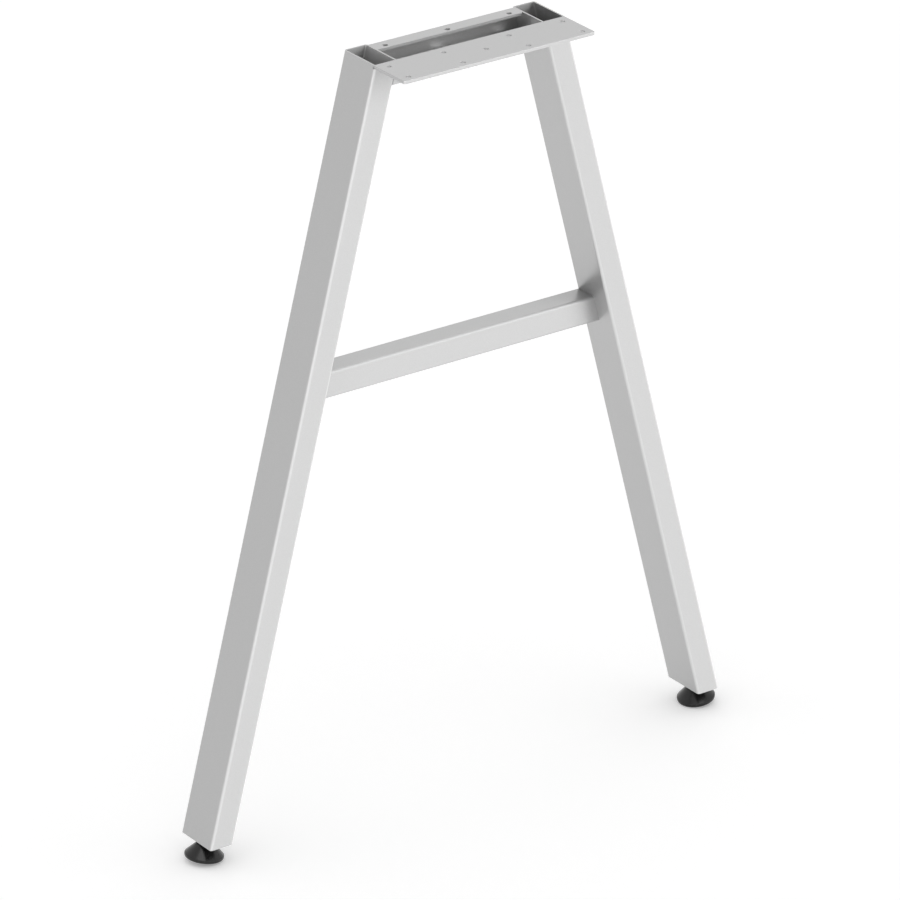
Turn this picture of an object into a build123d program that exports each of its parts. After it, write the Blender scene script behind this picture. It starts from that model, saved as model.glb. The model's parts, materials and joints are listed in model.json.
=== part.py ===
"""A-frame desk leg with a screw plate, a slotted top rail and two swivel levelling feet.

The leg stands on the floor at z = 0. X runs across the two tubes, and Y from the screw plate at the front to the
backs of the tubes. Lengths are in millimetres and angles in degrees.
"""

import os
from math import cos, radians, sin, sqrt, tan

from build123d import *

os.makedirs("parts", exist_ok=True)

# Overall form, with the feet screwed in
leg_height = 720.0
top_width = 201.5
slant = 14.4

# Leg tubes
tube_width = 23.0
tube_depth = 47.0
tube_wall = 1.5
tube_corner = 2.5
tube_inner_corner = 1.0

# Square crossbar, flush with the backs of the tubes
bar_size = 25.0
bar_wall = 1.5
bar_corner = 2.5
bar_inner_corner = 1.0
bar_top_height = 435.8

# Top rail, folded from sheet, with a lip at the back
rail_height = 22.5
rail_sheet = 2.5
rail_bend = 3.0
lip_depth = 16.5
lip_corner = 2.2
lip_hole_diameter = 5.0
lip_hole_from_tube = 11.5
lip_hole_from_back = 11.4
access_hole_diameter = 12.0

# Screw plate in front of the tubes, let into their front walls
plate_reach = 43.4
plate_overlap = 2.5
plate_thickness = 3.0
plate_corner = 2.0
plate_edge = 0.4
screw_hole_diameter = 5.0
screw_from_plate_end = 9.0
screw_inner_spacing = 69.0
screw_row_spacing = 29.0
screw_centre_from_tubes = 21.7

# Stem of the levelling foot, along the axis of its tube
stem_diameter = 8.0
stem_thread_length = 25.0
stem_end_chamfer = 1.0
stem_hexagon = 13.0
stem_hexagon_height = 5.0
stem_neck_diameter = 6.0
stem_neck_length = 9.4
ball_diameter = 10.0

# Swivel base, snapped over the ball
base_tilt = 8.0
base_diameter = 35.4
base_height = 13.6
base_rim_height = 3.5
base_foot_round = 2.0
base_rim_round = 0.8
base_neck_diameter = 15.6
base_neck_round = 0.5
ball_height = 7.0
ball_clearance = 0.3
mouth_diameter = 8.8
mouth_flare = 2.0

# Ribbed insert and its nut in the lower end of each tube
insert_length = 26.0
insert_recess = 1.0
insert_rib_height = 1.0
insert_rib_thickness = 1.6
insert_rib_count = 5
insert_rib_corner = 1.2
insert_bore_clearance = 0.3
nut_hexagon = 13.0
nut_height = 6.5
nut_side_clearance = 0.1
thread_clearance = 0.05
seat_clearance = 0.3

# Turn of each hexagon, so that its flats face the wide sides of the tube
hexagon_turn = 30.0

# Room past a cut, so that the piece runs through the plane that trims it
trim_allowance = 20.0

SIDES = (("left", -1), ("right", 1))

slant_sin = sin(radians(slant))
slant_cos = cos(radians(slant))
slant_tan = tan(radians(slant))
tilt_sin = sin(radians(base_tilt))
tilt_cos = cos(radians(base_tilt))

# The front faces of the tubes, placed so that the whole leg is centred on Y = 0
front_y = (plate_reach - tube_depth) / 2
back_y = front_y + tube_depth
tube_mid_y = front_y + tube_depth / 2
tube_level_width = tube_width / slant_cos
tube_axis_top_x = top_width / 2 - tube_level_width / 2
tube_inner_width = tube_width - 2 * tube_wall
tube_inner_depth = tube_depth - 2 * tube_wall

# The lowest point of the tilted base's rounded edge touches the floor
base_radius = base_diameter / 2
base_rise = (base_radius - base_foot_round) * tilt_sin + base_foot_round * (1 - tilt_cos)
ball_z = base_rise + ball_height * tilt_cos
ball_x = tube_axis_top_x + (leg_height - ball_z) * slant_tan

# Distances up the tube's axis from the centre of the ball
hexagon_top = stem_neck_length + stem_hexagon_height
insert_face = hexagon_top + seat_clearance
tube_end_distance = insert_face - insert_recess - tube_inner_width / 2 * slant_tan
tube_end_z = ball_z + tube_end_distance * slant_cos


def tube_axis_x(height):
    """Distance of a tube's axis from the middle of the leg at a height above the floor."""
    return tube_axis_top_x + (leg_height - height) * slant_tan


def inner_face_x(height):
    """Distance of a tube's inward face from the middle of the leg at a height above the floor."""
    return tube_axis_x(height) - tube_level_width / 2


def stem_plane(side, distance=0.0):
    """Plane across a tube's axis, at a distance up that axis from the centre of the foot's ball."""
    up = Vector(-side * slant_sin, 0, slant_cos)
    across = Vector(side * slant_cos, 0, slant_sin)
    ball_centre = Vector(side * ball_x, tube_mid_y, ball_z)
    return Plane(origin=ball_centre + up * distance, x_dir=across, z_dir=up)


def inner_face_plane(side):
    """Plane of a tube's inward face, facing the middle of the leg."""
    towards_middle = Vector(-side * slant_cos, 0, -slant_sin)
    on_face = Vector(side * inner_face_x(leg_height), tube_mid_y, leg_height)
    return Plane(origin=on_face, x_dir=(0, 1, 0), z_dir=towards_middle)


def save(builder, name):
    """Label a finished piece and write it to its own file."""
    builder.part.label = name
    export_step(builder.part, f"parts/{name}.step")


# Leg tubes, cut level at the mounting face and above the foot, with a seat for the plate in the front wall
tube_run = (leg_height - tube_end_z) / slant_cos
seat_width = top_width + 2 * trim_allowance
seat_align = (Align.CENTER, Align.CENTER, Align.MAX)
for side_name, side in SIDES:
    with BuildPart() as leg_tube:
        with BuildSketch(stem_plane(side, tube_end_distance - trim_allowance)):
            RectangleRounded(tube_width, tube_depth, tube_corner)
            RectangleRounded(tube_inner_width, tube_inner_depth, tube_inner_corner, mode=Mode.SUBTRACT)
        extrude(amount=tube_run + 2 * trim_allowance)
        split(bisect_by=Plane.XY.offset(leg_height), keep=Keep.BOTTOM)
        split(bisect_by=Plane.XY.offset(tube_end_z), keep=Keep.TOP)
        with Locations((0, front_y, leg_height)):
            Box(seat_width, 2 * plate_overlap, plate_thickness, align=seat_align, mode=Mode.SUBTRACT)
    save(leg_tube, f"{side_name}_leg_tube")

# Crossbar, its ends mitred to the inward faces of the tubes
bar_mid_y = back_y - bar_size / 2
bar_mid_z = bar_top_height - bar_size / 2
with BuildPart() as crossbar:
    with BuildSketch(Plane.YZ):
        with Locations((bar_mid_y, bar_mid_z)):
            RectangleRounded(bar_size, bar_size, bar_corner)
            bar_hollow = bar_size - 2 * bar_wall
            RectangleRounded(bar_hollow, bar_hollow, bar_inner_corner, mode=Mode.SUBTRACT)
    extrude(amount=inner_face_x(bar_mid_z) + trim_allowance, both=True)
    for side_name, side in SIDES:
        split(bisect_by=inner_face_plane(side), keep=Keep.TOP)
save(crossbar, "crossbar")

# Top rail: front wall, floor, back wall and lip, its ends mitred to the tubes
rail_mid_z = leg_height - rail_height / 2
rail_inner_depth = tube_depth - 2 * rail_sheet
rail_inner_height = rail_height - 2 * rail_sheet
slot_depth = tube_depth - rail_sheet - lip_depth
lip_front_y = back_y - lip_depth
lip_hole_y = back_y - lip_hole_from_back
lip_hole_spacing = inner_face_x(leg_height) - lip_hole_from_tube
with BuildPart() as top_rail:
    with BuildSketch(Plane.YZ) as rail_section:
        with Locations((tube_mid_y, rail_mid_z)):
            Rectangle(tube_depth, rail_height)
        bends = rail_section.vertices().sort_by_distance((front_y, leg_height))[1:]
        fillet(bends, rail_bend)
        with Locations((tube_mid_y, rail_mid_z)):
            RectangleRounded(rail_inner_depth, rail_inner_height, rail_bend - rail_sheet, mode=Mode.SUBTRACT)
        with Locations((front_y + rail_sheet, leg_height)):
            slot_height = rail_height / 2
            Rectangle(slot_depth, slot_height, align=(Align.MIN, Align.MAX), mode=Mode.SUBTRACT)
        with Locations((front_y, leg_height)):
            Rectangle(plate_overlap, plate_thickness, align=(Align.MIN, Align.MAX), mode=Mode.SUBTRACT)
    extrude(amount=top_width / 2, both=True)
    for side_name, side in SIDES:
        split(bisect_by=inner_face_plane(side), keep=Keep.TOP)
    for side_name, side in SIDES:
        lip_mid_z = leg_height - rail_sheet / 2
        corner = (side * inner_face_x(lip_mid_z), lip_front_y, lip_mid_z)
        fillet(top_rail.edges().sort_by_distance(corner)[0], lip_corner)
    with BuildSketch(Plane.XY.offset(leg_height)):
        with Locations((0, lip_hole_y)):
            with GridLocations(lip_hole_spacing, 1, 3, 1):
                Circle(lip_hole_diameter / 2)
    extrude(amount=-rail_sheet, mode=Mode.SUBTRACT)
    with BuildSketch(Plane.XY.offset(leg_height - rail_height)):
        with Locations((0, lip_hole_y)):
            with GridLocations(lip_hole_spacing, 1, 3, 1):
                Circle(access_hole_diameter / 2)
    extrude(amount=rail_sheet, mode=Mode.SUBTRACT)
save(top_rail, "top_rail")

# Screw plate, flush with the mounting face, its back edge on the seats of the tubes and on the rail's front wall
plate_depth = plate_reach + plate_overlap
plate_mid_y = front_y + plate_overlap - plate_depth / 2
screw_mid_y = front_y - screw_centre_from_tubes
screw_outer_spacing = top_width - 2 * screw_from_plate_end
with BuildPart() as top_plate:
    with BuildSketch(Plane.XY.offset(leg_height)) as plate_outline:
        with Locations((0, plate_mid_y)):
            Rectangle(top_width, plate_depth)
        fillet(plate_outline.vertices().group_by(Axis.Y)[0], plate_corner)
    extrude(amount=-plate_thickness)
    upper_and_lower = top_plate.faces().filter_by(Axis.Z)
    fillet(upper_and_lower.edges().sort_by(Axis.Y)[:-2], plate_edge)
    with BuildSketch(Plane.XY.offset(leg_height)):
        with Locations((0, screw_mid_y)):
            Circle(screw_hole_diameter / 2)
            for spacing in (screw_outer_spacing, screw_inner_spacing):
                with GridLocations(spacing, screw_row_spacing, 2, 2):
                    Circle(screw_hole_diameter / 2)
    extrude(amount=-plate_thickness, mode=Mode.SUBTRACT)
save(top_plate, "top_plate")

# Ribbed inserts, pushed into the lower tube ends until they lie above the slanted cut
insert_core_width = tube_inner_width - 2 * insert_rib_height
insert_core_depth = tube_inner_depth - 2 * insert_rib_height
rib_spacing = (insert_length - insert_rib_thickness) / (insert_rib_count - 1)
for side_name, side in SIDES:
    with BuildPart() as tube_insert:
        with BuildSketch(stem_plane(side, insert_face)):
            Rectangle(insert_core_width, insert_core_depth)
        extrude(amount=insert_length)
        for rib in range(insert_rib_count):
            with BuildSketch(stem_plane(side, insert_face + rib * rib_spacing)):
                RectangleRounded(tube_inner_width, tube_inner_depth, insert_rib_corner)
            extrude(amount=insert_rib_thickness)
        with BuildSketch(stem_plane(side, insert_face)):
            Circle(stem_diameter / 2 + insert_bore_clearance)
        extrude(amount=insert_length, mode=Mode.SUBTRACT)
        with BuildSketch(stem_plane(side, insert_face)):
            pocket_radius = nut_hexagon / 2 + nut_side_clearance
            RegularPolygon(pocket_radius, 6, major_radius=False, rotation=hexagon_turn)
        extrude(amount=nut_height, mode=Mode.SUBTRACT)
    save(tube_insert, f"{side_name}_tube_insert")

# Nuts, seated against the ends of their pockets
for side_name, side in SIDES:
    with BuildPart() as insert_nut:
        with BuildSketch(stem_plane(side, insert_face)):
            RegularPolygon(nut_hexagon / 2, 6, major_radius=False, rotation=hexagon_turn)
            Circle(stem_diameter / 2 + thread_clearance, mode=Mode.SUBTRACT)
        extrude(amount=nut_height)
    save(insert_nut, f"{side_name}_insert_nut")

# Stems: ball, neck, hexagon for a spanner, and the threaded length
for side_name, side in SIDES:
    with BuildPart(stem_plane(side)) as foot_stem:
        Sphere(ball_diameter / 2)
        with BuildSketch(stem_plane(side)):
            Circle(stem_neck_diameter / 2)
        extrude(amount=stem_neck_length)
        with BuildSketch(stem_plane(side, stem_neck_length)):
            RegularPolygon(stem_hexagon / 2, 6, major_radius=False, rotation=hexagon_turn)
        extrude(amount=stem_hexagon_height)
        with BuildSketch(stem_plane(side, hexagon_top)):
            Circle(stem_diameter / 2)
        extrude(amount=stem_thread_length)
        stem_end = stem_plane(side, hexagon_top + stem_thread_length).origin
        end_edges = foot_stem.edges().filter_by(GeomType.CIRCLE).sort_by_distance(stem_end)
        chamfer(end_edges[0], stem_end_chamfer)
    save(foot_stem, f"{side_name}_foot_stem")

# Bases: a rimmed cone with a socket that holds the ball and a mouth that lets the stem lean
socket_radius = ball_diameter / 2 + ball_clearance
mouth_radius = mouth_diameter / 2
mouth_height = ball_height + sqrt(socket_radius**2 - mouth_radius**2)
rim_corner = (base_radius, base_rim_height)
neck_corner = (base_neck_diameter / 2, base_height)
for side_name, side in SIDES:
    base_up = Vector(-side * tilt_sin, 0, tilt_cos)
    base_across = Vector(side * tilt_cos, 0, tilt_sin)
    base_centre = Vector(side * ball_x, tube_mid_y, ball_z) - base_up * ball_height
    with BuildPart() as foot_base:
        with BuildSketch(Plane(origin=base_centre, x_dir=base_across, z_dir=(0, -side, 0))) as base_section:
            with BuildLine():
                Polyline(
                    (0, ball_height - socket_radius),
                    (0, 0),
                    (base_radius, 0),
                    rim_corner,
                    neck_corner,
                    (mouth_radius + mouth_flare, base_height),
                    (mouth_radius, mouth_height),
                )
                ThreePointArc(
                    (mouth_radius, mouth_height), (socket_radius, ball_height), (0, ball_height - socket_radius)
                )
            make_face()
            fillet(base_section.vertices().sort_by_distance((base_radius, 0))[0], base_foot_round)
            fillet(base_section.vertices().sort_by_distance(rim_corner)[0], base_rim_round)
            fillet(base_section.vertices().sort_by_distance(neck_corner)[0], base_neck_round)
        revolve(axis=Axis(base_centre, base_up))
    save(foot_base, f"{side_name}_foot_base")
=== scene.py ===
"""Dresses the A-frame desk leg: silver powder coat, threaded stems, moulded feet and a white studio."""

import json
import math

import bmesh
import bpy
from bpy.props import FloatProperty, FloatVectorProperty, IntProperty, PointerProperty
from mathutils import Matrix, Vector


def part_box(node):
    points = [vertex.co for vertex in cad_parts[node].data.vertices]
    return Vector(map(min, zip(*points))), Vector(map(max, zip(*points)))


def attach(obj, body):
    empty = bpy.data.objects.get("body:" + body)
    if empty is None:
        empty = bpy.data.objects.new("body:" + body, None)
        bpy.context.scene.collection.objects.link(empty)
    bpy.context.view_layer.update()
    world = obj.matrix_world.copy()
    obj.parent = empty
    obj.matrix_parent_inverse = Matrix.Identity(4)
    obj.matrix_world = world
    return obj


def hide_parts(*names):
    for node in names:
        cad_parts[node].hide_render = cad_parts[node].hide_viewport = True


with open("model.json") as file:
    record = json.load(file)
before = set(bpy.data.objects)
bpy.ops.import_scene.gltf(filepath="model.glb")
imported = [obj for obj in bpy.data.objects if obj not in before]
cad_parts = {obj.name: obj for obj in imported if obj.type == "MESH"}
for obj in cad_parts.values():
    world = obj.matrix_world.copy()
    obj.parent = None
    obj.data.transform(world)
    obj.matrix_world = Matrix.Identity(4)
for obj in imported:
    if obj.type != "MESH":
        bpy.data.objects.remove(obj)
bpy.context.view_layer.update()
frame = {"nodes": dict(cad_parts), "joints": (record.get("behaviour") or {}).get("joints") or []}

bl_info = {
    "name": "A-frame desk leg",
    "version": (1, 0, 0),
    "blender": (4, 5, 0),
    "location": "View3D > Sidebar > Desk Leg",
    "description": "Finishes the welded frame, screws in the levelling feet and sets up the studio",
    "category": "Object",
}

MM = 0.001
SIDES = ("left", "right")
WELDED_PIECES = ("left_leg_tube", "right_leg_tube", "crossbar", "top_rail", "top_plate")
MERGE_DISTANCE = 0.001 * MM
SHARP_ANGLE = math.radians(35)
TURNED_STEPS = 48
BALL_STEPS = 20
HEXAGON_CHAMFER = math.radians(30)
# Product of a unit normal's x and y near the middle of a rounded upright edge
EDGE_MIDDLE = 0.45
# Ray Depth stays below this for the camera's own rays and for their first one or two bounces
EARLY_BOUNCES = 2.5
SOFT_BOX_SPREAD = math.radians(50)
FLOOR_LIGHT_SPREAD = math.radians(160)


def linear(hex_colour):
    """Turn an sRGB hex colour into linear red, green and blue."""
    channels = [int(hex_colour[i:i + 2], 16) / 255 for i in (1, 3, 5)]
    return tuple(c / 12.92 if c <= 0.04045 else ((c + 0.055) / 1.055) ** 2.4 for c in channels)


def add_node(tree, kind, settings=None, links=None):
    """Add a node, set its properties or unlinked sockets, and link its other sockets."""
    node = tree.nodes.new(kind)
    for name, value in (settings or {}).items():
        if isinstance(name, int) or name in node.inputs:
            node.inputs[name].default_value = value
        else:
            setattr(node, name, value)
    for name, source in (links or {}).items():
        tree.links.new(source, node.inputs[name])
    return node


def new_material(name):
    """Make a material with an empty node tree, and return both."""
    material = bpy.data.materials.new(name)
    material.use_nodes = True
    material.node_tree.nodes.clear()
    return material, material.node_tree


def shade(colour, level=1.0):
    """Darken or lighten a colour, and give it as red, green, blue and alpha."""
    return (*(channel * level for channel in colour), 1)


def paint(node_name, material):
    """Give a CAD node one material."""
    piece = frame["nodes"][node_name]
    piece.data.materials.clear()
    piece.data.materials.append(material)


def joint_of(name):
    """Find a joint of the frame by its name."""
    return next(joint for joint in frame["joints"] if joint["name"] == name)


class DeskLegFinish(bpy.types.PropertyGroup):
    """Colours and surface sizes of the finishes."""

    coat_colour: FloatVectorProperty(
        name="Powder coat", description="Colour of the silver powder coat",
        subtype="COLOR", size=3, min=0, max=1, default=linear("#C3C3C3"),
    )
    # Painted highlight: the lighter grey given to the tubes' rounded upright edges
    edge_highlight_colour: FloatVectorProperty(
        name="Coat on edges", description="Colour of the thinner coat on the tubes' rounded edges",
        subtype="COLOR", size=3, min=0, max=1, default=linear("#DBDBDB"),
    )
    coat_flake: FloatProperty(
        name="Flake", description="Spacing of the metal flakes that mottle the coat",
        unit="LENGTH", default=1.0 * MM,
    )
    coat_ripple: FloatProperty(
        name="Ripple", description="Width of the fine ripple that the cured powder leaves",
        unit="LENGTH", default=1.6 * MM,
    )
    base_grain: FloatProperty(
        name="Foot base grain", description="Width of the grain in the foot bases' skin",
        unit="LENGTH", default=0.6 * MM,
    )
    base_colour: FloatVectorProperty(
        name="Foot base", description="Colour of the moulded foot bases",
        subtype="COLOR", size=3, min=0, max=1, default=linear("#131313"),
    )
    insert_grain: FloatProperty(
        name="Tube insert grain", description="Width of the grain in the tube inserts' skin",
        unit="LENGTH", default=0.8 * MM,
    )
    insert_colour: FloatVectorProperty(
        name="Tube insert", description="Colour of the ribbed tube inserts",
        subtype="COLOR", size=3, min=0, max=1, default=linear("#202020"),
    )
    zinc_cloud: FloatProperty(
        name="Zinc cloud", description="Width of the clouds that the bath leaves in the zinc",
        unit="LENGTH", default=2.5 * MM,
    )
    zinc_colour: FloatVectorProperty(
        name="Zinc plate", description="Colour of the plated nuts and stems",
        subtype="COLOR", size=3, min=0, max=1, default=linear("#CDCFD1"),
    )


class DeskLegStem(bpy.types.PropertyGroup):
    """Sizes of the threaded stem of a levelling foot."""

    ball_diameter: FloatProperty(
        name="Ball", description="Diameter of the ball that the base swivels on",
        unit="LENGTH", default=10.0 * MM,
    )
    neck_diameter: FloatProperty(
        name="Neck", description="Diameter of the neck between ball and hexagon",
        unit="LENGTH", default=6.0 * MM,
    )
    neck_length: FloatProperty(
        name="Neck length", description="Distance from the centre of the ball to the hexagon",
        unit="LENGTH", default=9.4 * MM,
    )
    hexagon: FloatProperty(
        name="Hexagon", description="Width of the hexagon across its flats",
        unit="LENGTH", default=13.0 * MM,
    )
    hexagon_height: FloatProperty(
        name="Hexagon height", description="Height of the hexagon",
        unit="LENGTH", default=5.0 * MM,
    )
    thread_diameter: FloatProperty(
        name="Thread", description="Outer diameter of the thread",
        unit="LENGTH", default=7.9 * MM,
    )
    thread_root: FloatProperty(
        name="Thread root", description="Diameter at the root of the thread",
        unit="LENGTH", default=6.6 * MM,
    )
    thread_pitch: FloatProperty(
        name="Pitch", description="Distance from one turn of the thread to the next",
        unit="LENGTH", default=1.25 * MM,
    )
    thread_length: FloatProperty(
        name="Thread length", description="Length of the thread above the hexagon",
        unit="LENGTH", default=25.0 * MM,
    )
    tip_chamfer: FloatProperty(
        name="Tip chamfer", description="Chamfer at the tip of the thread",
        unit="LENGTH", default=1.0 * MM,
    )
    turn_steps: IntProperty(
        name="Steps", description="Steps in one turn of the thread", default=48,
    )


class DeskLegWeld(bpy.types.PropertyGroup):
    """Sizes of the weld beads in the grooves beside the tubes."""

    bead_width: FloatProperty(
        name="Bead", description="Width of a bead across its joint",
        unit="LENGTH", default=3.9 * MM,
    )
    bead_reach: FloatProperty(
        name="Reach",
        description="How far a bead reaches past the tube, onto the rail or the crossbar",
        unit="LENGTH", default=0.9 * MM,
    )
    bead_depth: FloatProperty(
        name="Depth", description="Depth of a bead, less than the wall of the tube",
        unit="LENGTH", default=0.9 * MM,
    )
    bead_sink: FloatProperty(
        name="Sink", description="How far a bead lies below the faces on both sides",
        unit="LENGTH", default=0.5 * MM,
    )
    bead_round: FloatProperty(
        name="Rounding", description="Rounding of a bead's edges",
        unit="LENGTH", default=0.2 * MM,
    )
    bead_stop: FloatProperty(
        name="Stop",
        description="Distance from a bead's end to the edge of the rail or the crossbar",
        unit="LENGTH", default=1.5 * MM,
    )


class DeskLegStage(bpy.types.PropertyGroup):
    """Camera, light and floor of the studio."""

    camera_place: FloatVectorProperty(
        name="Camera", description="Place of the camera",
        subtype="TRANSLATION", unit="LENGTH", size=3, default=(-3.4685, -4.8550, 3.0477),
    )
    camera_yaw: FloatProperty(
        name="Yaw", description="Turn of the camera from the front of the leg",
        unit="ROTATION", default=math.radians(35.3764),
    )
    camera_pitch: FloatProperty(
        name="Pitch", description="How far the camera looks down",
        unit="ROTATION", default=math.radians(24.4628),
    )
    lens: FloatProperty(
        name="Lens", description="Focal length on a 36 mm sensor, in millimetres",
        subtype="DISTANCE_CAMERA", default=297.37,
    )
    ambient: FloatProperty(
        name="Ambient", description="Level of the even light from all sides",
        default=0.23,
    )
    key: FloatProperty(
        name="Key", description="Level of the diffused light low at the front right",
        default=1.35,
    )
    overhead: FloatProperty(
        name="Overhead", description="Level of the soft box overhead",
        default=0.26,
    )
    edge: FloatProperty(
        name="Edge", description="Level of the soft box at the front left that draws the rounded edges",
        default=0.18,
    )
    floor_colour: FloatVectorProperty(
        name="Floor", description="Colour of the studio floor",
        subtype="COLOR", size=3, min=0, max=1, default=linear("#F8F8F8"),
    )
    floor_light: FloatProperty(
        name="Floor light", description="Level of the soft light that falls on the floor alone",
        min=0, max=1, default=0.63,
    )
    floor_lift: FloatProperty(
        name="Floor lift",
        description="White that the floor shows the camera beside the light that falls on it",
        min=0, max=1, default=0.22,
    )
    floor_size: FloatProperty(
        name="Floor size", description="Width of the studio floor",
        unit="LENGTH", default=40.0,
    )


def edge_highlight_mask(tree):
    """Give 1 on rounded upright edges, where the normal's x and y are both large, and 0 on flat faces:
    the mask of the painted highlight.
    """
    place = add_node(tree, "ShaderNodeTexCoord")
    normal = add_node(tree, "ShaderNodeSeparateXYZ", links={"Vector": place.outputs["Normal"]})
    product = add_node(
        tree, "ShaderNodeMath", {"operation": "MULTIPLY"},
        {0: normal.outputs["X"], 1: normal.outputs["Y"]},
    )
    size = add_node(
        tree, "ShaderNodeMath", {"operation": "ABSOLUTE"}, {0: product.outputs["Value"]},
    )
    factor = add_node(
        tree, "ShaderNodeMapRange", {"From Max": EDGE_MIDDLE}, {"Value": size.outputs["Value"]},
    )
    return factor.outputs["Result"]


def silver_powder_coat():
    """Polyester powder with aluminium flake, cured on steel: an even satin grey with a fine mottle.

    The flakes lie flat under the skin, so half of the light comes back as a soft mirror and half
    as plain grey, and the skin keeps a slight ripple. The rounded upright edges are painted a
    lighter grey, a painted highlight. Real flakes are under 0.1 mm, and are drawn coarser so that
    they show.
    """
    finish = bpy.context.scene.desk_leg_finish
    material, tree = new_material("silver_powder_coat")
    place = add_node(tree, "ShaderNodeTexCoord")
    flake = add_node(
        tree, "ShaderNodeTexNoise",
        {"Scale": 1 / finish.coat_flake, "Detail": 1.0},
        {"Vector": place.outputs["Object"]},
    )
    ripple = add_node(
        tree, "ShaderNodeTexNoise",
        {"Scale": 1 / finish.coat_ripple, "Detail": 2.0},
        {"Vector": place.outputs["Object"]},
    )
    tone = finish.coat_colour
    mottle = add_node(
        tree, "ShaderNodeMix",
        {"data_type": "RGBA", "A": shade(tone, 0.94), "B": shade(tone, 1.06)},
        {"Factor": flake.outputs["Fac"]},
    )
    # Painted highlight: the rounded upright edges get the lighter edge grey instead of the mottled coat
    edge_highlight = add_node(
        tree, "ShaderNodeMix",
        {"data_type": "RGBA", "B": shade(finish.edge_highlight_colour)},
        {"Factor": edge_highlight_mask(tree), "A": mottle.outputs["Result"]},
    )
    roughness = add_node(
        tree, "ShaderNodeMapRange",
        {"To Min": 0.29, "To Max": 0.37},
        {"Value": flake.outputs["Fac"]},
    )
    relief = add_node(
        tree, "ShaderNodeBump",
        {"Strength": 0.25, "Distance": 0.03 * MM},
        {"Height": ripple.outputs["Fac"]},
    )
    coat = add_node(
        tree, "ShaderNodeBsdfPrincipled",
        {"Metallic": 0.5},
        {
            "Base Color": edge_highlight.outputs["Result"],
            "Roughness": roughness.outputs["Result"],
            "Normal": relief.outputs["Normal"],
        },
    )
    add_node(tree, "ShaderNodeOutputMaterial", links={"Surface": coat.outputs["BSDF"]})
    return material


def moulded_black_nylon():
    """Glass-filled nylon from a polished mould: near black, with a soft sheen and a faint grain."""
    finish = bpy.context.scene.desk_leg_finish
    material, tree = new_material("moulded_black_nylon")
    place = add_node(tree, "ShaderNodeTexCoord")
    grain = add_node(
        tree, "ShaderNodeTexNoise",
        {"Scale": 1 / finish.base_grain, "Detail": 2.0},
        {"Vector": place.outputs["Object"]},
    )
    tone = finish.base_colour
    mottle = add_node(
        tree, "ShaderNodeMix",
        {"data_type": "RGBA", "A": shade(tone, 0.85), "B": shade(tone, 1.15)},
        {"Factor": grain.outputs["Fac"]},
    )
    roughness = add_node(
        tree, "ShaderNodeMapRange",
        {"To Min": 0.2, "To Max": 0.28},
        {"Value": grain.outputs["Fac"]},
    )
    relief = add_node(
        tree, "ShaderNodeBump",
        {"Strength": 0.15, "Distance": 0.02 * MM},
        {"Height": grain.outputs["Fac"]},
    )
    nylon = add_node(
        tree, "ShaderNodeBsdfPrincipled",
        {"IOR": 1.53, "Specular IOR Level": 0.36},
        {
            "Base Color": mottle.outputs["Result"],
            "Roughness": roughness.outputs["Result"],
            "Normal": relief.outputs["Normal"],
        },
    )
    add_node(tree, "ShaderNodeOutputMaterial", links={"Surface": nylon.outputs["BSDF"]})
    return material


def matt_black_polyethylene():
    """Polyethylene from a spark-eroded mould: dull black with a waxy, slightly uneven skin."""
    finish = bpy.context.scene.desk_leg_finish
    material, tree = new_material("matt_black_polyethylene")
    place = add_node(tree, "ShaderNodeTexCoord")
    grain = add_node(
        tree, "ShaderNodeTexNoise",
        {"Scale": 1 / finish.insert_grain, "Detail": 3.0},
        {"Vector": place.outputs["Object"]},
    )
    tone = finish.insert_colour
    mottle = add_node(
        tree, "ShaderNodeMix",
        {"data_type": "RGBA", "A": shade(tone, 0.8), "B": shade(tone, 1.2)},
        {"Factor": grain.outputs["Fac"]},
    )
    relief = add_node(
        tree, "ShaderNodeBump",
        {"Strength": 0.3, "Distance": 0.03 * MM},
        {"Height": grain.outputs["Fac"]},
    )
    plastic = add_node(
        tree, "ShaderNodeBsdfPrincipled",
        {"IOR": 1.51, "Roughness": 0.6},
        {"Base Color": mottle.outputs["Result"], "Normal": relief.outputs["Normal"]},
    )
    add_node(tree, "ShaderNodeOutputMaterial", links={"Surface": plastic.outputs["BSDF"]})
    return material


def bright_zinc_plate():
    """Zinc plated on turned steel: a cool bright metal with a faint cloudiness from the bath."""
    finish = bpy.context.scene.desk_leg_finish
    material, tree = new_material("bright_zinc_plate")
    place = add_node(tree, "ShaderNodeTexCoord")
    cloud = add_node(
        tree, "ShaderNodeTexNoise",
        {"Scale": 1 / finish.zinc_cloud, "Detail": 4.0},
        {"Vector": place.outputs["Object"]},
    )
    tone = finish.zinc_colour
    mottle = add_node(
        tree, "ShaderNodeMix",
        {"data_type": "RGBA", "A": shade(tone, 0.85), "B": shade(tone, 1.1)},
        {"Factor": cloud.outputs["Fac"]},
    )
    roughness = add_node(
        tree, "ShaderNodeMapRange",
        {"To Min": 0.2, "To Max": 0.36},
        {"Value": cloud.outputs["Fac"]},
    )
    zinc = add_node(
        tree, "ShaderNodeBsdfPrincipled",
        {"Metallic": 1.0},
        {"Base Color": mottle.outputs["Result"], "Roughness": roughness.outputs["Result"]},
    )
    add_node(tree, "ShaderNodeOutputMaterial", links={"Surface": zinc.outputs["BSDF"]})
    return material


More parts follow.
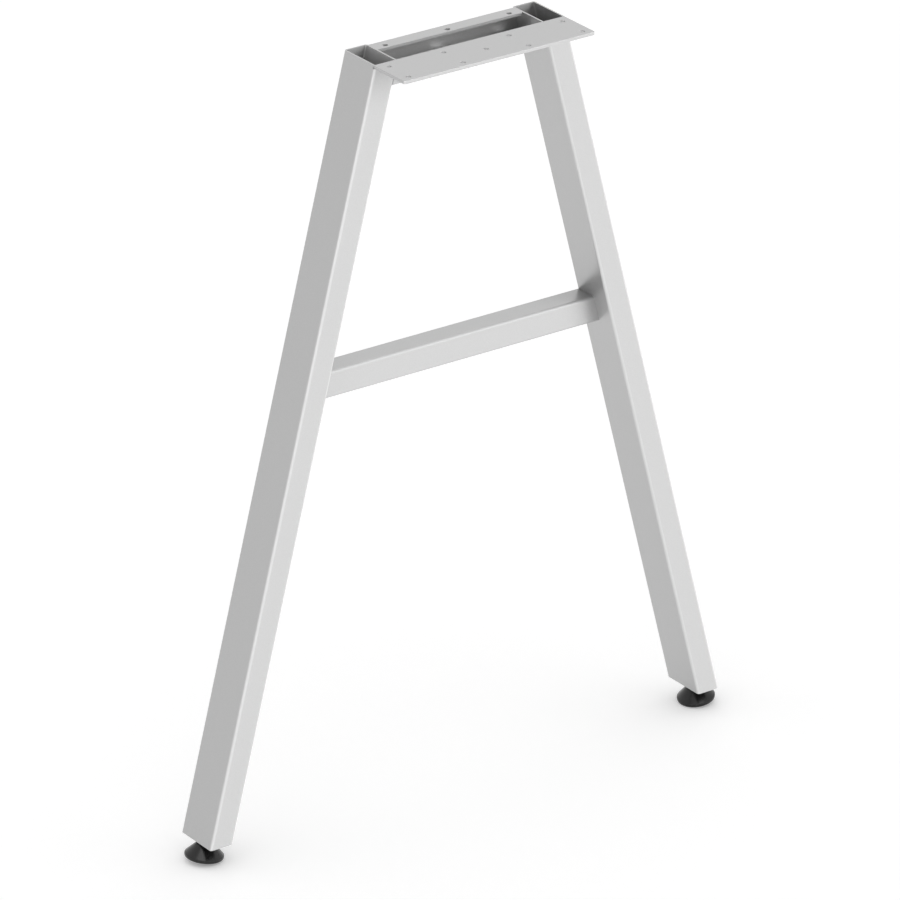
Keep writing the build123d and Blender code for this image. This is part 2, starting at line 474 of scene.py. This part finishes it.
def seen(tree, shown, hidden):
    """Give shown to the camera and to early bounces off gloss or glass, and hidden to all other light."""
    path = add_node(tree, "ShaderNodeLightPath")
    ray = add_node(
        tree, "ShaderNodeMath", {"operation": "MAXIMUM"},
        {0: path.outputs["Is Camera Ray"], 1: path.outputs["Is Glossy Ray"]},
    )
    ray = add_node(
        tree, "ShaderNodeMath", {"operation": "MAXIMUM"},
        {0: ray.outputs["Value"], 1: path.outputs["Is Transmission Ray"]},
    )
    early = add_node(
        tree, "ShaderNodeMath",
        {"operation": "LESS_THAN", 1: EARLY_BOUNCES},
        {0: path.outputs["Ray Depth"]},
    )
    ray = add_node(
        tree, "ShaderNodeMath", {"operation": "MULTIPLY"},
        {0: ray.outputs["Value"], 1: early.outputs["Value"]},
    )
    level = add_node(
        tree, "ShaderNodeMath",
        {"operation": "MULTIPLY_ADD", 1: shown - hidden, 2: hidden},
        {0: ray.outputs["Value"]},
    )
    return level.outputs["Value"]


def matt_white_floor():
    """Matt white studio paint: it keeps soft grey shadows, and shows the camera a little extra white."""
    stage = bpy.context.scene.desk_leg_stage
    material, tree = new_material("matt_white_floor")
    lit = add_node(tree, "ShaderNodeBsdfDiffuse", {"Color": shade(stage.floor_colour)})
    lift = add_node(tree, "ShaderNodeEmission", links={"Strength": seen(tree, stage.floor_lift, 0)})
    both = add_node(
        tree, "ShaderNodeAddShader", links={0: lit.outputs["BSDF"], 1: lift.outputs["Emission"]},
    )
    add_node(tree, "ShaderNodeOutputMaterial", links={"Surface": both.outputs["Shader"]})
    return material


def finished_piece(name, mesh):
    """Turn a mesh that is already in its place into a smooth object with crisp edges."""
    data = bpy.data.meshes.new(name)
    mesh.to_mesh(data)
    mesh.free()
    data.shade_smooth()
    data.set_sharp_from_angle(angle=SHARP_ANGLE)
    piece = bpy.data.objects.new(name, data)
    bpy.context.scene.collection.objects.link(piece)
    return piece


def turned_profile(mesh, outline):
    """Spin an outline of (radius, height) points round Z into a closed surface."""
    points = [mesh.verts.new((radius, 0, height)) for radius, height in outline]
    edges = [mesh.edges.new(pair) for pair in zip(points, points[1:])]
    bmesh.ops.spin(
        mesh, geom=points + edges, cent=(0, 0, 0), axis=(0, 0, 1), angle=math.tau,
        steps=TURNED_STEPS, use_merge=True,
    )


def ball_and_neck(mesh, stem):
    """Turn the ball and the neck that runs up into the hexagon."""
    ball = stem.ball_diameter / 2
    neck = stem.neck_diameter / 2
    neck_top = stem.neck_length + stem.hexagon_height / 2
    meet = math.acos(neck / ball)
    span = meet + math.pi / 2
    angles = [-math.pi / 2 + span * step / BALL_STEPS for step in range(BALL_STEPS + 1)]
    outline = [(ball * math.cos(angle), ball * math.sin(angle)) for angle in angles]
    outline[0] = (0, -ball)
    turned_profile(mesh, outline + [(neck, neck_top), (0, neck_top)])


def chamfered_hexagon(mesh, stem):
    """Extrude the hexagon and cut its corners at 30 degrees, above and below."""
    half_flat = stem.hexagon / 2
    corner = half_flat / math.cos(math.pi / 6)
    low = stem.neck_length
    high = low + stem.hexagon_height
    base = bmesh.ops.create_circle(
        mesh, cap_ends=True, segments=6, radius=corner, matrix=Matrix.Translation((0, 0, low)),
    )["verts"]
    raised = bmesh.ops.extrude_face_region(mesh, geom=[base[0].link_faces[0]])["geom"]
    top = [item for item in raised if isinstance(item, bmesh.types.BMVert)]
    bmesh.ops.translate(mesh, vec=(0, 0, stem.hexagon_height), verts=top)
    prism = base + top
    for turn in range(6):
        angle = math.pi / 2 + turn * math.pi / 3
        out = Vector((math.cos(angle), math.sin(angle), 0))
        for height, up in ((high, 1), (low, -1)):
            faces = {face for vert in prism if vert.is_valid for face in vert.link_faces}
            edges = {edge for face in faces for edge in face.edges}
            verts = {vert for face in faces for vert in face.verts}
            cut = bmesh.ops.bisect_plane(
                mesh, geom=list(verts | edges | faces), plane_co=out * half_flat + Vector((0, 0, height)),
                plane_no=out * math.sin(HEXAGON_CHAMFER) + Vector((0, 0, up * math.cos(HEXAGON_CHAMFER))),
                clear_outer=True,
            )["geom_cut"]
            rim = [item for item in cut if isinstance(item, bmesh.types.BMEdge)]
            bmesh.ops.edgenet_fill(mesh, edges=rim)
            prism = list({vert for vert in verts if vert.is_valid}
                         | {item for item in cut if isinstance(item, bmesh.types.BMVert)})


def thread(mesh, stem):
    """Sweep a thread profile up a helix in an empty mesh, close its ends and chamfer the tip."""
    root = stem.thread_root / 2
    crest = stem.thread_diameter / 2
    pitch = stem.thread_pitch
    start = stem.neck_length + stem.hexagon_height / 2
    end = stem.neck_length + stem.hexagon_height + stem.thread_length
    turns = math.ceil((end - start) / pitch) + 2
    # The helix starts this many turns below the lower cut and ends above the upper one
    run_in = 1.5
    # Share of the pitch and radius at each corner of the 60 degree profile
    corners = ((0, root), (0.125, root), (0.4375, crest), (0.5625, crest), (0.875, root))
    outline = [
        (radius, start + (turn - run_in + share) * pitch)
        for turn in range(turns)
        for share, radius in corners
    ]
    points = [mesh.verts.new((radius, 0, height)) for radius, height in outline]
    edges = [mesh.edges.new(pair) for pair in zip(points, points[1:])]
    bmesh.ops.spin(
        mesh, geom=points + edges, cent=(0, 0, 0), axis=(0, 0, 1), dvec=(0, 0, pitch / stem.turn_steps),
        angle=math.tau, steps=stem.turn_steps,
    )
    bmesh.ops.remove_doubles(mesh, verts=mesh.verts[:], dist=MERGE_DISTANCE)
    for height, up in ((start, -1), (end, 1)):
        cut = bmesh.ops.bisect_plane(
            mesh, geom=mesh.verts[:] + mesh.edges[:] + mesh.faces[:], plane_co=(0, 0, height),
            plane_no=(0, 0, up), clear_outer=True,
        )["geom_cut"]
        bmesh.ops.edgenet_fill(mesh, edges=[item for item in cut if isinstance(item, bmesh.types.BMEdge)])
    for vert in mesh.verts:
        limit = crest - stem.tip_chamfer + end - vert.co.z
        if vert.co.xy.length > limit:
            vert.co.xy *= limit / vert.co.xy.length


def threaded_stem(name, stem, ball_centre, up):
    """Join thread, ball, neck and hexagon into one object."""
    mesh = bmesh.new()
    thread(mesh, stem)
    ball_and_neck(mesh, stem)
    chamfered_hexagon(mesh, stem)
    bmesh.ops.remove_doubles(mesh, verts=mesh.verts[:], dist=MERGE_DISTANCE)
    bmesh.ops.recalc_face_normals(mesh, faces=mesh.faces[:])
    lean = Vector((0, 0, 1)).rotation_difference(up).to_matrix().to_4x4()
    bmesh.ops.transform(mesh, matrix=Matrix.Translation(ball_centre) @ lean, verts=mesh.verts[:])
    return finished_piece(name, mesh)


def weld_bead(name, weld, side, face_y, outward, low, high):
    """Lay a bead in the groove at a tube's rounded inward edge, a little below the faces beside it."""
    tube_low, tube_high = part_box(f"{side}_leg_tube")
    down_tube = Vector(joint_of(f"{side}_foot_travel")["axis"])
    slope = down_tube.x / down_tube.z
    to_tube = math.copysign(weld.bead_width / 2 - weld.bead_reach, down_tube.x)
    inward_x = tube_high.x if down_tube.x < 0 else tube_low.x
    middle = (low + high) / 2
    centre = Vector((
        inward_x + slope * (middle - tube_high.z) + to_tube,
        face_y - outward * (weld.bead_sink + weld.bead_depth / 2),
        middle,
    ))
    lean = Matrix.Identity(4)
    lean[0][2] = slope
    size = Matrix.Diagonal((weld.bead_width, weld.bead_depth, high - low, 1))
    mesh = bmesh.new()
    bmesh.ops.create_cube(mesh, size=1, matrix=Matrix.Translation(centre) @ lean @ size)
    face = max(mesh.faces, key=lambda item: item.calc_center_median().y * outward)
    bmesh.ops.bevel(
        mesh, geom=face.edges[:], offset=weld.bead_round, segments=3, profile=0.5,
        affect="EDGES", material=-1,
    )
    return finished_piece(name, mesh)


class DESKLEG_OT_coat_frame(bpy.types.Operator):
    """Give the welded tubes, crossbar, rail and plate their silver powder coat"""

    bl_idname = "desk_leg.coat_frame"
    bl_label = "Coat the Frame"

    def execute(self, context):
        coat = silver_powder_coat()
        for name in WELDED_PIECES:
            paint(name, coat)
        return {"FINISHED"}


class DESKLEG_OT_lay_welds(bpy.types.Operator):
    """Lay coated welds in the grooves between the tubes, the rail and the crossbar"""

    bl_idname = "desk_leg.lay_welds"
    bl_label = "Lay the Welds"

    def execute(self, context):
        weld = context.scene.desk_leg_weld
        coat = bpy.data.materials["silver_powder_coat"]
        rail_low, rail_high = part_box("top_rail")
        bar_low, bar_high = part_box("crossbar")
        plate_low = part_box("top_plate")[0]
        stop = weld.bead_stop
        # Place of the outer face, its direction along Y, and the bead's two ends
        seams = {
            "rail_front": (rail_low.y, -1, rail_low.z + stop, plate_low.z),
            "rail_back": (rail_high.y, 1, rail_low.z + stop, rail_high.z - stop),
            "crossbar": (bar_high.y, 1, bar_low.z + stop, bar_high.z - stop),
        }
        for side in SIDES:
            for seam, place in seams.items():
                piece = weld_bead(f"{side}_{seam}_weld", weld, side, *place)
                piece.data.materials.append(coat)
                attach(piece, "frame")
        return {"FINISHED"}


class DESKLEG_OT_finish_inserts(bpy.types.Operator):
    """Give the tube inserts their black plastic"""

    bl_idname = "desk_leg.finish_inserts"
    bl_label = "Finish the Inserts"

    def execute(self, context):
        plastic = matt_black_polyethylene()
        for side in SIDES:
            paint(f"{side}_tube_insert", plastic)
        return {"FINISHED"}


class DESKLEG_OT_thread_stems(bpy.types.Operator):
    """Make the threaded, ball-ended stems, and plate them and their nuts with zinc"""

    bl_idname = "desk_leg.thread_stems"
    bl_label = "Thread the Stems"

    def execute(self, context):
        zinc = bright_zinc_plate()
        for side in SIDES:
            ball_centre = Vector(joint_of(f"{side}_base_tilt")["pos_m"])
            up = -Vector(joint_of(f"{side}_foot_travel")["axis"])
            piece = threaded_stem(f"{side}_threaded_stem", context.scene.desk_leg_stem, ball_centre, up)
            piece.data.materials.append(zinc)
            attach(piece, f"{side}_stem")
            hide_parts(f"{side}_foot_stem")
            paint(f"{side}_insert_nut", zinc)
        return {"FINISHED"}


class DESKLEG_OT_mould_bases(bpy.types.Operator):
    """Give the swivel bases of the feet their black nylon"""

    bl_idname = "desk_leg.mould_bases"
    bl_label = "Mould the Bases"

    def execute(self, context):
        nylon = moulded_black_nylon()
        for side in SIDES:
            paint(f"{side}_foot_base", nylon)
        return {"FINISHED"}


class DESKLEG_OT_build_stage(bpy.types.Operator):
    """Lay the floor, hang the lights and place the camera"""

    bl_idname = "desk_leg.build_stage"
    bl_label = "Build the Stage"

    def execute(self, context):
        scene = context.scene
        stage = scene.desk_leg_stage
        mesh = bmesh.new()
        bmesh.ops.create_grid(mesh, x_segments=1, y_segments=1, size=stage.floor_size / 2)
        floor_mesh = bpy.data.meshes.new("floor")
        mesh.to_mesh(floor_mesh)
        mesh.free()
        floor = bpy.data.objects.new("floor", floor_mesh)
        floor_mesh.materials.append(matt_white_floor())
        scene.collection.objects.link(floor)

        world = bpy.data.worlds.new("studio")
        scene.world = world
        world.use_nodes = True
        tree = world.node_tree
        tree.nodes.clear()
        white = add_node(
            tree, "ShaderNodeBackground",
            {"Color": (1, 1, 1, 1)},
            {"Strength": seen(tree, 1, stage.ambient)},
        )
        add_node(tree, "ShaderNodeOutputWorld", links={"Surface": white.outputs["Background"]})

        # One soft lamp lights the floor alone, so the shadows stay close to the feet
        floor_alone = bpy.data.collections.new("floor alone")
        floor_alone.objects.link(floor)
        all_but_floor = bpy.data.collections.new("all but the floor")
        all_but_floor.objects.link(floor)
        all_but_floor.collection_objects[0].light_linking.link_state = "EXCLUDE"
        # Level, direction, spread, whether glossy surfaces mirror the lamp, and what it lights
        lamps = {
            "key": (stage.key, (-0.55, 0.81, -0.2), SOFT_BOX_SPREAD, False, all_but_floor),
            "overhead": (stage.overhead, (0.05, 0.2, -0.95), SOFT_BOX_SPREAD, True, all_but_floor),
            "edge": (stage.edge, (0.79, 0.61, -0.06), SOFT_BOX_SPREAD, True, all_but_floor),
            "floor light": (stage.floor_light, (0, 0, -1), FLOOR_LIGHT_SPREAD, False, floor_alone),
        }
        for name, (level, direction, spread, mirrored, receivers) in lamps.items():
            light = bpy.data.lights.new(name, "SUN")
            light.energy = level * math.pi
            light.angle = spread
            lamp = bpy.data.objects.new(name, light)
            lamp.rotation_euler = Vector(direction).to_track_quat("-Z", "Y").to_euler()
            lamp.visible_glossy = mirrored
            lamp.light_linking.receiver_collection = receivers
            scene.collection.objects.link(lamp)

        camera = bpy.data.cameras.new("camera")
        camera.lens = stage.lens
        camera.sensor_width = 36
        camera.clip_end = 100
        viewer = bpy.data.objects.new("camera", camera)
        viewer.location = stage.camera_place
        viewer.rotation_euler = (math.pi / 2 - stage.camera_pitch, 0, -stage.camera_yaw)
        scene.collection.objects.link(viewer)
        scene.camera = viewer
        scene.view_settings.view_transform = "Standard"
        return {"FINISHED"}


class DESKLEG_PT_sidebar(bpy.types.Panel):
    """Sizes, colours and steps of the desk leg"""

    bl_label = "Desk Leg"
    bl_idname = "DESKLEG_PT_sidebar"
    bl_space_type = "VIEW_3D"
    bl_region_type = "UI"
    bl_category = "Desk Leg"

    def draw(self, context):
        layout = self.layout
        scene = context.scene
        groups = (
            scene.desk_leg_finish, scene.desk_leg_weld, scene.desk_leg_stem, scene.desk_leg_stage,
        )
        for group in groups:
            box = layout.box()
            for name in group.__annotations__:
                box.prop(group, name)
        for operator in OPERATORS:
            layout.operator(operator.bl_idname)


OPERATORS = (
    DESKLEG_OT_coat_frame,
    DESKLEG_OT_lay_welds,
    DESKLEG_OT_finish_inserts,
    DESKLEG_OT_thread_stems,
    DESKLEG_OT_mould_bases,
    DESKLEG_OT_build_stage,
)
CLASSES = (DeskLegFinish, DeskLegWeld, DeskLegStem, DeskLegStage, *OPERATORS, DESKLEG_PT_sidebar)


def register():
    for item in CLASSES:
        bpy.utils.register_class(item)
    bpy.types.Scene.desk_leg_finish = PointerProperty(type=DeskLegFinish)
    bpy.types.Scene.desk_leg_weld = PointerProperty(type=DeskLegWeld)
    bpy.types.Scene.desk_leg_stem = PointerProperty(type=DeskLegStem)
    bpy.types.Scene.desk_leg_stage = PointerProperty(type=DeskLegStage)


def unregister():
    del bpy.types.Scene.desk_leg_stage
    del bpy.types.Scene.desk_leg_stem
    del bpy.types.Scene.desk_leg_weld
    del bpy.types.Scene.desk_leg_finish
    for item in reversed(CLASSES):
        bpy.utils.unregister_class(item)


def main():
    """Register the add-on and run its steps in order."""
    register()
    bpy.ops.desk_leg.coat_frame()
    bpy.ops.desk_leg.lay_welds()
    bpy.ops.desk_leg.finish_inserts()
    bpy.ops.desk_leg.thread_stems()
    bpy.ops.desk_leg.mould_bases()
    bpy.ops.desk_leg.build_stage()


if __name__ == "__main__":
    main()
